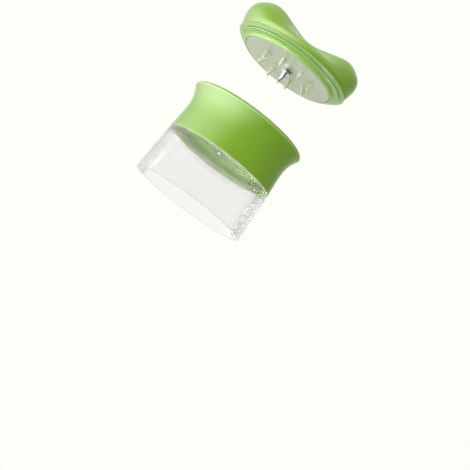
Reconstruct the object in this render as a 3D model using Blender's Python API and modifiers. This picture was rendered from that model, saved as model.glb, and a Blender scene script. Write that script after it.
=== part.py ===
"""Hand-held twist spiralizer.

A holder with teeth is pressed and turned by hand above the mouth of a grip collar.
A blade and a comb lie across the collar, and a clear catch sleeve is pushed in below.
The tool stands on the sleeve's foot, its axis is Z, and the handle's lobes lie along X.
The holder stands raised, at the start of its stroke.
"""
import math

import bmesh
import bpy
from mathutils import Matrix, Vector

MM = 0.001

# Clearances
SEAT_GAP = 0.3 * MM      # between two pieces that touch
SLIDE_GAP = 0.3 * MM     # around the sleeve's spigot and the holder's plug
RUN_GAP = 0.3 * MM       # around the handle where it turns in its seat ring
SHANK_GAP = 0.3 * MM     # around screws, pins and rivets
END_GAP = 0.5 * MM       # past the end of a spigot or a shank

# Feed mouth and the walls that lie outside it
MOUTH_R = 35.4 * MM
FUNNEL_WALL = 1.2 * MM
FUNNEL_TAPER = 6.6 * MM      # mouth radius less throat radius
FUNNEL_FLANGE_W = 1.0 * MM
FUNNEL_FLANGE_T = 1.0 * MM
MOUTH_DEPTH = 2.9 * MM       # straight part of the mouth
MOUTH_CHAMFER = 1.0 * MM
FUNNEL_SWEEP_H = 4.2 * MM    # curve from the mouth into the taper
FUNNEL_SKIRT_H = 2.4 * MM    # straight part outside, against the core
CORE_LIP_W = 2.5 * MM
CORE_LIP_T = 1.6 * MM
CORE_WALL = 1.6 * MM
CORE_BORE_STEP = 0.6 * MM    # mouth radius less the core's bore
CORE_FOOT_WALL = 1.2 * MM
STOP_LEDGE = 1.2 * MM        # ledge that stops the sleeve's spigot
FLARE_H = 6.0 * MM
DECK_LEDGE_T = 2.2 * MM
DECK_LEDGE_BACK = 0.5 * MM   # ledge opening beyond the throat

# Grip collar
GRIP_H = 33.2 * MM
GRIP_LIP_WALL = 2.3 * MM
GRIP_LIP_T = 1.2 * MM
GRIP_LIP_ROUND = 1.9 * MM
GRIP_WAIST_WALL = 1.2 * MM
GRIP_WAIST_H = 16.0 * MM
GRIP_FOOT_WALL = 1.6 * MM
GRIP_FOOT_ROUND = 0.5 * MM
GRIP_LIP_SWEEP = 2.5         # powers of the two curves; more keeps the waist straighter
GRIP_FOOT_SWEEP = 1.3

# Catch sleeve
SLEEVE_H = 34.0 * MM
SLEEVE_FLARE = 1.8 * MM
SLEEVE_WALL = 2.2 * MM
SLEEVE_INSET = 0.1 * MM      # sleeve behind the collar's foot
FOOT_ROUND = 0.8 * MM
FOOT_TIP = 0.3 * MM
SLEEVE_STEP_T = 1.6 * MM     # wall between the sleeve and its spigot
SLEEVE_STEP_EASE_W = 0.6 * MM    # eased corner inside, under the step
SLEEVE_STEP_EASE_H = 0.5 * MM
SLEEVE_STEP_EASE_FOOT = 1.1 * MM
SPIGOT_H = 7.0 * MM
SPIGOT_WALL = 1.5 * MM
RING_SECTION = 1.8 * MM      # height of the soft friction ring
RING_LAND = 0.7 * MM         # flat of the ring that rubs in the bore
RING_CROWN = 0.4 * MM
RING_GROOVE = 0.8 * MM
RING_CLEARANCE = 0.15 * MM   # ring to the collar's bore

# Blade unit
DECK_T = 2.7 * MM
UNDERDECK_SPACE = 3.8 * MM   # stop ledge to the deck's underside
CORING_R = 4.2 * MM
CORING_WALL = 0.6 * MM
CORING_EDGE = 0.2 * MM       # land left at the tube's sharpened end
CORING_BEVEL = 1.2 * MM
CORING_RISE = 3.3 * MM
WINDOW_WEB = 1.8 * MM        # between the coring tube's hole and the window
WINDOW_END = 1.4 * MM        # window's end to the throat
WINDOW_BACK = 4.6 * MM       # window behind and before the radius that it lies on
WINDOW_FRONT = 2.2 * MM
BLADE_W = 10.8 * MM
BLADE_T = 0.5 * MM
BLADE_BEVEL = 1.3 * MM
BLADE_ANGLE = math.radians(12.0)
BLADE_RISE = 2.6 * MM        # cutting edge above the deck
BLADE_LEAD = 1.2 * MM        # cutting edge before the radius
RAMP_W = 4.6 * MM
COMB_T = 0.5 * MM
COMB_W = 5.4 * MM
COMB_TOOTH_T = 0.4 * MM
COMB_TOOTH_RISE = 3.1 * MM
COMB_TOOTH_L = 2.4 * MM
COMB_TOOTH_TIP = 1.2 * MM    # length of a tooth's top
COMB_PITCH = 3.4 * MM
COMB_COUNT = 6
RIVET_R = 0.8 * MM
RIVET_HEAD_R = 1.5 * MM
RIVET_HEAD_FLAT_R = 1.05 * MM
RIVET_HEAD_T = 0.5 * MM
RIVET_DEPTH = 1.5 * MM
RIVET_INSET = 3.0 * MM
SCREW_R = 1.1 * MM
SCREW_TIP_R = 0.65 * MM
SCREW_HEAD_R = 2.2 * MM
SCREW_HEAD_T = 1.5 * MM
SCREW_HEAD_FLAT_R = 1.75 * MM
SCREW_HEAD_ROUND = 0.6 * MM
SCREW_RECESS_R = 1.3 * MM
SCREW_RECESS_W = 0.7 * MM
SCREW_RECESS_D = 0.7 * MM
CARRIER_SCREWS = 3
CARRIER_SCREW_START = math.radians(90.0)

# Holder, measured up from its rim
HOLDER_LIFT = 42.8 * MM      # collar's top to the holder's rim, as the holder stands
PLUG_H = 2.0 * MM
PLUG_ROUND = 1.0 * MM
RING_RIM_W = 1.3 * MM
RING_LEDGE_W = 2.8 * MM
RING_FLANGE_W = 4.2 * MM
RING_FLANGE_RISE = 0.8 * MM
RING_COVE_W = 1.1 * MM       # corner in the slope under the flange
RING_COVE_H = 0.3 * MM
RING_H = 3.4 * MM
PLATE_T = 1.5 * MM
TOOTH_COUNT = 8
TOOTH_R = 18.0 * MM
TOOTH_L = 5.6 * MM
TOOTH_TIP_L = 0.85 * MM
TOOTH_TIP_BACK = 0.85 * MM   # tip behind the tooth's leading end
TOOTH_T = 1.6 * MM
TOOTH_H = 6.0 * MM
PEG_COUNT = 3
PEG_R = 1.6 * MM
PEG_H = 1.8 * MM
PEG_CIRCLE_R = 22.0 * MM
BASE_OVERHANG = 3.1 * MM     # base beyond the seat ring
BASE_H = 5.3 * MM
BASE_WALL = 1.5 * MM
BASE_RIM_W = 3.0 * MM
BASE_STEP = 0.35 * MM        # fine steps round the band
BAND_TOP_W = 0.5 * MM        # band's corners, in from its edge and up from its foot
BAND_TOP_H = 0.95 * MM
BAND_STEP_W = 1.3 * MM
BAND_STEP_H = 0.65 * MM
BAND_LOW_H = 0.4 * MM
HUB_R = 6.0 * MM
HUB_H = 4.0 * MM
INSERT_WALL = 1.2 * MM
INSERT_H = 5.2 * MM
SPIKE_R = 1.5 * MM
SPIKE_LENGTH = 11.5 * MM
SPIKE_CONE = 7.0 * MM
SPIKE_COLLAR_R = 3.8 * MM
SPIKE_COLLAR_T = 1.2 * MM
WASHER_R = 4.6 * MM
WASHER_T = 0.6 * MM

# Handle shell, as heights above its foot, and widths in from its foot or out from the axis
SHELL_INSET = 0.4 * MM       # shell's foot behind the base's edge
SHELL_WALL = 1.9 * MM
BELLY_BULGE = 2.05 * MM      # lobe beyond the shell's foot
BELLY_H = 10.7 * MM
SHOULDER_INSET = 1.0 * MM
SHOULDER_H = 18.1 * MM
CROWN_INSET = 11.5 * MM
CROWN_H = 23.7 * MM
DIP_R = 15.0 * MM
DIP_H = 19.7 * MM
CENTRE_H = 16.1 * MM
SKIRT_H = 3.4 * MM
SHELF_INSET = 6.0 * MM
SHELF_H = 6.0 * MM
SLOPE_INSET = 20.0 * MM
SLOPE_H = 10.0 * MM
BROW_R = 12.5 * MM
BROW_H = 14.3 * MM
LOBE_SHARPNESS = 1.13        # more makes the lobes narrower
BOSS_R = 3.0 * MM
BOSS_EDGE = 0.7 * MM         # screw head's hole to the edge of the base's boss
BOSS_ANGLE = math.radians(19.0)  # screws to either side of the line through the lobes
BOSS_SCREW_DEPTH = 7.0 * MM

# Facets
ROUND = 40
SMALL_ROUND = 16
SHELL_ROWS = 15
SHELL_LEAN = 1.4             # draws the rows together at the shell's foot

# Places that follow from the sizes, from the foot upwards
GRIP_FOOT_Z = SLEEVE_H + SEAT_GAP
GRIP_TOP_Z = GRIP_FOOT_Z + GRIP_H
SPIGOT_TOP_Z = SLEEVE_H + SPIGOT_H
STOP_Z = SPIGOT_TOP_Z + END_GAP
DECK_FOOT_Z = STOP_Z + UNDERDECK_SPACE
DECK_Z = DECK_FOOT_Z + DECK_T
LEDGE_Z = DECK_Z + SEAT_GAP
LEDGE_TOP_Z = LEDGE_Z + DECK_LEDGE_T
FUNNEL_FOOT_Z = LEDGE_TOP_Z + SEAT_GAP
CORE_TOP_Z = GRIP_TOP_Z - GRIP_LIP_T - SEAT_GAP
FUNNEL_FLANGE_Z = CORE_TOP_Z + SEAT_GAP
FUNNEL_TOP_Z = FUNNEL_FLANGE_Z + FUNNEL_FLANGE_T
RIM_Z = GRIP_TOP_Z + HOLDER_LIFT

# Radii that follow, from the mouth outwards and inwards
THROAT_R = MOUTH_R - FUNNEL_TAPER
FUNNEL_R = MOUTH_R + FUNNEL_WALL
FUNNEL_FLANGE_R = FUNNEL_R + SEAT_GAP + FUNNEL_FLANGE_W
CORE_MOUTH_R = FUNNEL_R + SEAT_GAP
CORE_LIP_R = CORE_MOUTH_R + CORE_LIP_W
GRIP_LIP_R = CORE_LIP_R + SEAT_GAP + GRIP_LIP_WALL
GRIP_MOUTH_R = FUNNEL_FLANGE_R + SEAT_GAP
CORE_BORE_R = MOUTH_R - CORE_BORE_STEP
CORE_R = CORE_BORE_R + CORE_WALL
GRIP_WAIST_R = CORE_R + SEAT_GAP + GRIP_WAIST_WALL
CORE_FOOT_BORE_R = CORE_BORE_R + STOP_LEDGE
CORE_FOOT_R = CORE_FOOT_BORE_R + CORE_FOOT_WALL
GRIP_FOOT_R = CORE_FOOT_R + SEAT_GAP + GRIP_FOOT_WALL
SPIGOT_R = CORE_FOOT_BORE_R - SLIDE_GAP
SLEEVE_TOP_R = GRIP_FOOT_R - SLEEVE_INSET
SLEEVE_FOOT_R = SLEEVE_TOP_R + SLEEVE_FLARE
DECK_R = CORE_BORE_R - SEAT_GAP
LEDGE_R = THROAT_R + DECK_LEDGE_BACK
CARRIER_SCREW_CIRCLE_R = (LEDGE_R + CORE_BORE_R) / 2
WINDOW_X0 = CORING_R + SEAT_GAP + WINDOW_WEB
WINDOW_X1 = THROAT_R - WINDOW_END
PLUG_R = MOUTH_R - SLIDE_GAP
RIM_R = PLUG_R - RING_RIM_W
PLATE_R = RIM_R - RUN_GAP
RING_LEDGE_R = RIM_R - RING_LEDGE_W
RING_FLANGE_R = PLUG_R + RING_FLANGE_W
BASE_BOSS_R = RING_LEDGE_R - RUN_GAP
BOSS_CIRCLE_R = BASE_BOSS_R - BOSS_EDGE - SHANK_GAP - SCREW_HEAD_R
BASE_R = RING_FLANGE_R + BASE_OVERHANG
SHELL_FOOT_R = BASE_R - SHELL_INSET

# Heights above the holder's rim that follow
RING_LEDGE_Z = PLATE_T + RUN_GAP
BASE_FOOT_Z = RING_H + RUN_GAP
BASE_BOSS_Z = PLATE_T + SEAT_GAP
BASE_DECK_Z = BASE_FOOT_Z + BASE_WALL
SHELL_FOOT_Z = BASE_H + SEAT_GAP


def srgb(red, green, blue):
    """Linear colour of an 8-bit screen colour."""
    def linear(value):
        value = value / 255.0
        return value / 12.92 if value <= 0.04045 else ((value + 0.055) / 1.055) ** 2.4
    return (linear(red), linear(green), linear(blue), 1.0)


def material(name, colour, roughness, metallic=0.0, transmission=0.0):
    made = bpy.data.materials.new(name)
    made.use_nodes = True
    shader = made.node_tree.nodes["Principled BSDF"]
    shader.inputs["Base Color"].default_value = colour
    shader.inputs["Roughness"].default_value = roughness
    shader.inputs["Metallic"].default_value = metallic
    shader.inputs["Transmission Weight"].default_value = transmission
    made.diffuse_color = colour
    return made


def collection(name):
    made = bpy.data.collections.new(name)
    bpy.context.scene.collection.children.link(made)
    return made


def place(mesh, name, parent=None, z=0.0, mat=None):
    """Put a mesh on the tool's axis as a part."""
    obj = bpy.data.objects.new(name, mesh)
    PARTS.objects.link(obj)
    obj.location = (0.0, 0.0, z)
    obj.parent = parent
    if mat is not None:
        obj.data.materials.clear()
        obj.data.materials.append(mat)
    return obj


def place_each(mesh, name, matrices, parent=None, z=0.0, mat=None):
    """Parts that share one mesh, numbered from 1, one at each matrix."""
    for number, matrix in enumerate(matrices, 1):
        obj = place(mesh, f"{name}_{number}", parent, mat=mat)
        obj.matrix_basis = Matrix.Translation((0.0, 0.0, z)) @ matrix


def guide(mesh, name, parent=None, z=0.0):
    """Put a mesh on the tool's axis as a cutter, or as a shape to join to a part."""
    obj = bpy.data.objects.new(name, mesh)
    CUTTERS.objects.link(obj)
    obj.location = (0.0, 0.0, z)
    obj.parent = parent
    obj.hide_render = True
    obj.display_type = "WIRE"
    return obj


def boolean(obj, other, operation):
    mod = obj.modifiers.new(other.name, "BOOLEAN")
    mod.operation = operation
    mod.solver = "EXACT"
    mod.object = other


def outline_mesh(name, points):
    """Edges through (radius, height) points, closed unless both ends lie on the axis."""
    mesh = bpy.data.meshes.new(name)
    edges = [(i, i + 1) for i in range(len(points) - 1)]
    if points[0][0] > 0.0:
        edges.append((len(points) - 1, 0))
    mesh.from_pydata([(r, 0.0, z) for r, z in points], edges, [])
    return mesh


def turn(obj, steps=ROUND):
    mod = obj.modifiers.new("Turn", "SCREW")
    mod.axis = "Z"
    mod.steps = steps
    mod.render_steps = steps
    mod.use_merge_vertices = True
    mod.merge_threshold = 0.00001
    mod.use_smooth_shade = True
    return obj


def turned(name, points, mat, parent=None, steps=ROUND):
    """A turned part from its outline, listed down the outer side and up the inner one."""
    return turn(place(outline_mesh(name, points), name, parent, mat=mat), steps)


def turned_mesh(name, points, steps=SMALL_ROUND):
    """A turned shape as a plain mesh, for small pieces that repeat."""
    source = bpy.data.objects.new(name, outline_mesh(name, points))
    CUTTERS.objects.link(source)
    turn(source, steps)
    return settled(source)


def settled(source):
    """The evaluated mesh of an object, which is then removed."""
    graph = bpy.context.evaluated_depsgraph_get()
    mesh = bpy.data.meshes.new_from_object(source.evaluated_get(graph))
    bm = bmesh.new()
    bm.from_mesh(mesh)
    bmesh.ops.remove_doubles(bm, verts=bm.verts, dist=0.00001)
    bm.to_mesh(mesh)
    bm.free()
    bpy.data.objects.remove(source)
    return mesh


def extruded(name, points, start, end):
    """A flat outline of (y, z) points, drawn out along X from start to end."""
    curve = bpy.data.curves.new(name, "CURVE")
    curve.dimensions = "2D"
    curve.fill_mode = "BOTH"
    curve.extrude = (end - start) / 2
    spline = curve.splines.new("POLY")
    spline.points.add(len(points) - 1)
    for point, (y, z) in zip(spline.points, points):
        point.co = (y, z, 0.0, 1.0)
    spline.use_cyclic_u = True
    source = bpy.data.objects.new(name, curve)
    CUTTERS.objects.link(source)
    mesh = settled(source)
    to_yz = Matrix(((0, 0, 1, 0), (1, 0, 0, 0), (0, 1, 0, 0), (0, 0, 0, 1)))
    mesh.transform(Matrix.Translation(((start + end) / 2, 0.0, 0.0)) @ to_yz)
    return mesh


def box(name, low, high):
    low, high = Vector(low), Vector(high)
    mesh = bpy.data.meshes.new(name)
    bm = bmesh.new()
    bmesh.ops.create_cube(bm, size=1.0)
    bmesh.ops.scale(bm, vec=high - low, verts=bm.verts)
    bmesh.ops.translate(bm, vec=(low + high) / 2, verts=bm.verts)
    bm.to_mesh(mesh)
    bm.free()
    return mesh


def rod(name, radius, low, high, steps=SMALL_ROUND):
    """A plain round rod on Z between two heights."""
    mesh = bpy.data.meshes.new(name)
    bm = bmesh.new()
    bmesh.ops.create_cone(bm, cap_ends=True, segments=steps, radius1=radius, radius2=radius,
                          depth=high - low)
    bmesh.ops.translate(bm, vec=(0.0, 0.0, (low + high) / 2), verts=bm.verts)
    bm.to_mesh(mesh)
    bm.free()
    return mesh


def copies(name, mesh, matrices):
    """One mesh that holds a copy of another at each matrix, as separate bodies."""
    made = bpy.data.meshes.new(name)
    bm = bmesh.new()
    for matrix in matrices:
        one = mesh.copy()
        one.transform(matrix)
        bm.from_mesh(one)
        bpy.data.meshes.remove(one)
    bm.to_mesh(made)
    bm.free()
    return made


def smooth(mesh, degrees=35.0):
    mesh.shade_smooth()
    mesh.set_sharp_from_angle(angle=math.radians(degrees))


def arc(centre_r, centre_z, radius, start, end, count):
    """Points of an arc in an outline, by angles in degrees from +X towards +Z."""
    angles = [math.radians(start + (end - start) * i / (count - 1)) for i in range(count)]
    return [(centre_r + radius * math.cos(a), centre_z + radius * math.sin(a)) for a in angles]


def around(count, radius, start=0.0):
    """Matrices of equally spaced places on a circle about Z, each facing outwards."""
    turns = [start + 2 * math.pi * i / count for i in range(count)]
    return [Matrix.Rotation(a, 4, "Z") @ Matrix.Translation((radius, 0.0, 0.0)) for a in turns]


def through(points, count, lean):
    """A smooth curve through points, read in steps that grow with its length by a power."""
    nodes = [Vector(p) for p in points]
    ends = [2 * nodes[0] - nodes[1], *nodes, 2 * nodes[-1] - nodes[-2]]
    fine = []
    per_span = 16
    for i in range(len(nodes) - 1):
        a, b, c, d = ends[i:i + 4]
        for k in range(per_span):
            t = k / per_span
            fine.append(0.5 * (2 * b + (c - a) * t + (2 * a - 5 * b + 4 * c - d) * t ** 2
                               + (3 * b - a - 3 * c + d) * t ** 3))
    fine.append(nodes[-1])
    lengths = [0.0]
    for p, q in zip(fine, fine[1:]):
        lengths.append(lengths[-1] + (q - p).length)
    picked = []
    at = 0
    for i in range(count):
        wanted = lengths[-1] * (i / (count - 1)) ** lean
        while at < len(fine) - 2 and lengths[at + 1] < wanted:
            at += 1
        share = (wanted - lengths[at]) / (lengths[at + 1] - lengths[at])
        picked.append(fine[at].lerp(fine[at + 1], min(share, 1.0)))
    return picked


def screw_mesh(name, length):
    """A pan-head screw that points up, with its head's seat at height 0."""
    points = [(0.0, length), (SCREW_TIP_R, length), (SCREW_R, length - SCREW_R),
              (SCREW_R, 0.0), (SCREW_HEAD_R, 0.0),
              (SCREW_HEAD_R, SCREW_HEAD_ROUND - SCREW_HEAD_T),
              (SCREW_HEAD_FLAT_R, -SCREW_HEAD_T), (0.0, -SCREW_HEAD_T)]
    source = guide(turned_mesh(name, points), name)
    half, reach = SCREW_RECESS_W / 2, SCREW_RECESS_R
    floor = SCREW_RECESS_D - SCREW_HEAD_T
    low = -SCREW_HEAD_T - END_GAP
    bars = [box(name, (-reach, -half, low), (reach, half, floor)),
            box(name, (-half, -reach, low), (half, reach, floor))]
    cutters = [guide(bar, name + "_recess") for bar in bars]
    for cutter in cutters:
        boolean(source, cutter, "DIFFERENCE")
    mesh = settled(source)
    for cutter in cutters:
        bpy.data.objects.remove(cutter)
    return mesh


# Scene
for old in list(bpy.data.objects):
    bpy.data.objects.remove(old)
PARTS = collection("Spiralizer")
CUTTERS = collection("Cutters")

GREEN_GRIP = srgb(144, 194, 62)
GREEN_HANDLE = srgb(148, 194, 64)
LIGHT_GREEN = srgb(174, 222, 118)
PALE_MINT = srgb(205, 236, 172)
PALE_PLATE = srgb(214, 224, 202)
WHITE = srgb(228, 234, 222)
CLEAR = srgb(246, 248, 246)
STEEL = srgb(196, 198, 200)
BRASS = srgb(196, 164, 92)


# Catch sleeve: clear, open at both ends, pushed up into the collar
def make_clear_sleeve(parent):
    inner_foot = SLEEVE_FOOT_R - SLEEVE_WALL
    inner_top = SLEEVE_TOP_R - SLEEVE_WALL
    spigot_bore = SPIGOT_R - SPIGOT_WALL
    ring_mid = SLEEVE_H + SPIGOT_H / 2
    groove = RING_SECTION / 2 + SEAT_GAP
    points = [(SPIGOT_R, SPIGOT_TOP_Z),
              (SPIGOT_R, ring_mid + groove),
              (SPIGOT_R - RING_GROOVE, ring_mid + groove),
              (SPIGOT_R - RING_GROOVE, ring_mid - groove),
              (SPIGOT_R, ring_mid - groove),
              (SPIGOT_R, SLEEVE_H),
              (SLEEVE_TOP_R, SLEEVE_H)]
    points += arc(SLEEVE_FOOT_R - FOOT_ROUND, FOOT_ROUND, FOOT_ROUND, 0, -90, 4)
    under_step = SLEEVE_H - SLEEVE_STEP_T
    points += [(inner_foot + FOOT_TIP, 0.0),
               (inner_foot, FOOT_TIP),
               (inner_top, under_step - SLEEVE_STEP_EASE_H - SLEEVE_STEP_EASE_FOOT),
               (inner_top - SLEEVE_STEP_EASE_W, under_step - SLEEVE_STEP_EASE_H),
               (spigot_bore, under_step),
               (spigot_bore, SPIGOT_TOP_Z)]
    turned("clear_sleeve", points, material("clear_sleeve", CLEAR, 0.04, transmission=1.0), parent)


def make_sleeve_ring(parent):
    mid = SLEEVE_H + SPIGOT_H / 2
    inner = SPIGOT_R - RING_GROOVE + SEAT_GAP
    outer = CORE_FOOT_BORE_R - RING_CLEARANCE
    half, land = RING_SECTION / 2, RING_LAND / 2
    edge = outer - RING_CROWN
    points = [(edge, mid + half), (outer, mid + land), (outer, mid - land),
              (edge, mid - half), (inner, mid - half), (inner, mid + half)]
    turned("sleeve_ring", points, material("sleeve_ring", WHITE, 0.5), parent)


# Collar: a rigid core, a soft grip around it and a funnel in its mouth
def make_collar_core():
    shoulder_z = STOP_Z + SEAT_GAP
    flare_z = CORE_TOP_Z - FLARE_H
    lip_z = CORE_TOP_Z - CORE_LIP_T
    points = [(CORE_LIP_R, CORE_TOP_Z), (CORE_LIP_R, lip_z), (CORE_R, flare_z),
              (CORE_R, shoulder_z + STOP_LEDGE), (CORE_FOOT_R, shoulder_z),
              (CORE_FOOT_R, GRIP_FOOT_Z), (CORE_FOOT_BORE_R, GRIP_FOOT_Z),
              (CORE_FOOT_BORE_R, STOP_Z), (CORE_BORE_R, STOP_Z), (CORE_BORE_R, LEDGE_Z),
              (LEDGE_R, LEDGE_Z), (LEDGE_R, LEDGE_TOP_Z), (CORE_BORE_R, LEDGE_TOP_Z),
              (CORE_BORE_R, flare_z), (CORE_MOUTH_R, lip_z), (CORE_MOUTH_R, CORE_TOP_Z)]
    core = turned("collar_core", points, material("collar_core", PALE_MINT, 0.35))
    boolean(core, carrier_screw_holes(), "DIFFERENCE")


def carrier_screw_holes():
    hole = rod("carrier_screw_hole", SCREW_R + SHANK_GAP, DECK_FOOT_Z - END_GAP,
               LEDGE_TOP_Z + END_GAP)
    spots = around(CARRIER_SCREWS, CARRIER_SCREW_CIRCLE_R, CARRIER_SCREW_START)
    return guide(copies("carrier_screw_holes", hole, spots), "carrier_screw_holes")


def grip_radius(height):
    """The grip's outer radius: narrow at the waist, flared to the lip."""
    if height < GRIP_WAIST_H:
        share = 1.0 - height / GRIP_WAIST_H
        return GRIP_WAIST_R + (GRIP_FOOT_R - GRIP_WAIST_R) * share ** GRIP_FOOT_SWEEP
    share = (height - GRIP_WAIST_H) / (GRIP_H - GRIP_LIP_ROUND - GRIP_WAIST_H)
    return GRIP_WAIST_R + (GRIP_LIP_R - GRIP_WAIST_R) * share ** GRIP_LIP_SWEEP


def make_grip_collar():
    steps = 10
    shoulder_z = STOP_Z + SEAT_GAP
    flare_z = CORE_TOP_Z - FLARE_H
    lip_z = CORE_TOP_Z - CORE_LIP_T
    round_z = GRIP_TOP_Z - GRIP_LIP_ROUND
    points = [(GRIP_MOUTH_R, GRIP_TOP_Z)]
    points += arc(GRIP_LIP_R - GRIP_LIP_ROUND, round_z, GRIP_LIP_ROUND, 90, 0, 5)
    top, foot = GRIP_H - GRIP_LIP_ROUND, GRIP_FOOT_ROUND
    for i in range(1, steps + 1):
        height = top + (foot - top) * i / steps
        points.append((grip_radius(height), GRIP_FOOT_Z + height))
    gap = SEAT_GAP
    points += [(grip_radius(0.0) - GRIP_FOOT_ROUND, GRIP_FOOT_Z),
               (CORE_FOOT_R + gap, GRIP_FOOT_Z),
               (CORE_FOOT_R + gap, shoulder_z),
               (CORE_R + gap, shoulder_z + STOP_LEDGE),
               (CORE_R + gap, flare_z),
               (CORE_LIP_R + gap, lip_z),
               (CORE_LIP_R + gap, CORE_TOP_Z + gap),
               (GRIP_MOUTH_R, CORE_TOP_Z + gap)]
    turned("grip_collar", points, material("grip_collar", GREEN_GRIP, 0.42))


def make_feed_funnel():
    straight_z = FUNNEL_TOP_Z - MOUTH_DEPTH
    flare_z = CORE_TOP_Z - FLARE_H
    outer = CORE_BORE_R - SEAT_GAP
    mouth_z = FUNNEL_TOP_Z - MOUTH_CHAMFER
    taper_z = straight_z - FUNNEL_SWEEP_H
    points = [(FUNNEL_FLANGE_R, FUNNEL_TOP_Z), (FUNNEL_FLANGE_R, FUNNEL_FLANGE_Z),
              (FUNNEL_R, FUNNEL_FLANGE_Z), (FUNNEL_R, straight_z),
              (outer, flare_z), (outer, flare_z - FUNNEL_SKIRT_H),
              (THROAT_R + FUNNEL_WALL, FUNNEL_FOOT_Z), (THROAT_R, FUNNEL_FOOT_Z),
              (outer - FUNNEL_WALL, taper_z), (MOUTH_R, straight_z), (MOUTH_R, mouth_z),
              (MOUTH_R + MOUTH_CHAMFER, FUNNEL_TOP_Z)]
    turned("feed_funnel", points, material("feed_funnel", WHITE, 0.3))


# Blade unit: a deck with a window, a slanted blade, a comb and a coring tube
def ramp_height(y):
    """Height of the blade's underside above a place along Y."""
    return DECK_Z + BLADE_RISE + (y - BLADE_LEAD) * math.tan(BLADE_ANGLE)


def make_blade_seat():
    """An empty on the cutting edge, tilted with the blade."""
    seat = bpy.data.objects.new("blade_seat", None)
    PARTS.objects.link(seat)
    seat.location = (0.0, BLADE_LEAD, DECK_Z + BLADE_RISE)
    seat.rotation_euler = (BLADE_ANGLE, 0.0, 0.0)
    return seat


def blade_rivet_spots():
    y = -BLADE_W + RIVET_HEAD_R + SEAT_GAP * 2
    return [Matrix.Translation((x, y, 0.0))
            for x in (WINDOW_X0 + RIVET_INSET, WINDOW_X1 - RIVET_INSET)]


def comb_rivet_spots():
    y = WINDOW_FRONT + SEAT_GAP + COMB_W - RIVET_HEAD_R - SEAT_GAP
    return [Matrix.Translation((x, y, 0.0))
            for x in (WINDOW_X0 + RIVET_INSET, WINDOW_X1 - RIVET_INSET)]


def comb_strip_z():
    """Heights of the comb strip's underside and top, just below the deck's top."""
    return DECK_Z - SEAT_GAP - COMB_T, DECK_Z - SEAT_GAP


def make_blade_carrier(seat):
    points = [(0.0, DECK_Z), (DECK_R, DECK_Z), (DECK_R, DECK_FOOT_Z), (0.0, DECK_FOOT_Z)]
    carrier = turned("blade_carrier", points, material("blade_carrier", WHITE, 0.35))
    back = -BLADE_W * math.cos(BLADE_ANGLE) + BLADE_LEAD
    front = back + RAMP_W
    mid_z = DECK_Z - DECK_T / 2
    under = SEAT_GAP / math.cos(BLADE_ANGLE)
    ramp = [(back, mid_z), (front, mid_z), (front, ramp_height(front) - under),
            (back, ramp_height(back) - under)]
    boolean(carrier, guide(extruded("ramp", ramp, WINDOW_X0, WINDOW_X1), "ramp"), "UNION")
    window = box("window", (WINDOW_X0, -WINDOW_BACK, DECK_FOOT_Z - END_GAP),
                 (WINDOW_X1, WINDOW_FRONT, DECK_Z + END_GAP))
    boolean(carrier, guide(window, "window"), "DIFFERENCE")
    hole = rod("core_hole", CORING_R + SEAT_GAP, DECK_FOOT_Z - END_GAP, DECK_Z + END_GAP, ROUND // 2)
    boolean(carrier, guide(hole, "core_hole"), "DIFFERENCE")
    strip_foot = comb_strip_z()[0]
    pocket = box("comb_pocket", (WINDOW_X0 - SEAT_GAP, WINDOW_FRONT - SEAT_GAP,
                                 strip_foot - SEAT_GAP),
                 (WINDOW_X1 + SEAT_GAP, WINDOW_FRONT + COMB_W + SEAT_GAP * 2, DECK_Z + END_GAP))
    boolean(carrier, guide(pocket, "comb_pocket"), "DIFFERENCE")
    comb_hole = rod("comb_rivet_hole", RIVET_R + SHANK_GAP, strip_foot - RIVET_DEPTH,
                    DECK_Z + END_GAP)
    boolean(carrier, guide(copies("comb_rivet_holes", comb_hole, comb_rivet_spots()),
                           "comb_rivet_holes"), "DIFFERENCE")
    blade_hole = rod("blade_rivet_hole", RIVET_R + SHANK_GAP, -RIVET_DEPTH - END_GAP, BLADE_T)
    boolean(carrier, guide(copies("blade_rivet_holes", blade_hole, blade_rivet_spots()),
                           "blade_rivet_holes", seat), "DIFFERENCE")
    boolean(carrier, bpy.data.objects["carrier_screw_holes"], "DIFFERENCE")


def make_slicing_blade(seat):
    outline = [(0.0, 0.0), (-BLADE_BEVEL, BLADE_T), (-BLADE_W, BLADE_T), (-BLADE_W, 0.0)]
    mesh = extruded("slicing_blade", outline, WINDOW_X0, WINDOW_X1)
    blade = place(mesh, "slicing_blade", seat, mat=material("slicing_blade", STEEL, 0.18, 1.0))
    hole = rod("blade_hole", RIVET_R + SHANK_GAP, -END_GAP, BLADE_T + END_GAP)
    boolean(blade, guide(copies("blade_holes", hole, blade_rivet_spots()), "blade_holes", seat),
            "DIFFERENCE")


def rivet_mesh(name, shank, seat_z):
    """A flat-head rivet that points down, with its head just above a face at seat_z."""
    under = seat_z + SEAT_GAP
    points = [(0.0, under + RIVET_HEAD_T), (RIVET_HEAD_FLAT_R, under + RIVET_HEAD_T),
              (RIVET_HEAD_R, under), (RIVET_R, under), (RIVET_R, -shank), (0.0, -shank)]
    return turned_mesh(name, points)


def make_rivets(seat):
    one = rivet_mesh("blade_rivet", RIVET_DEPTH, BLADE_T)
    place_each(one, "blade_rivet", blade_rivet_spots(), seat,
               mat=material("blade_rivet", STEEL, 0.3, 1.0))
    low, high = comb_strip_z()
    one = rivet_mesh("comb_rivet", RIVET_DEPTH - SEAT_GAP, high - low)
    place_each(one, "comb_rivet", comb_rivet_spots(), z=low,
               mat=material("comb_rivet", STEEL, 0.3, 1.0))


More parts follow.
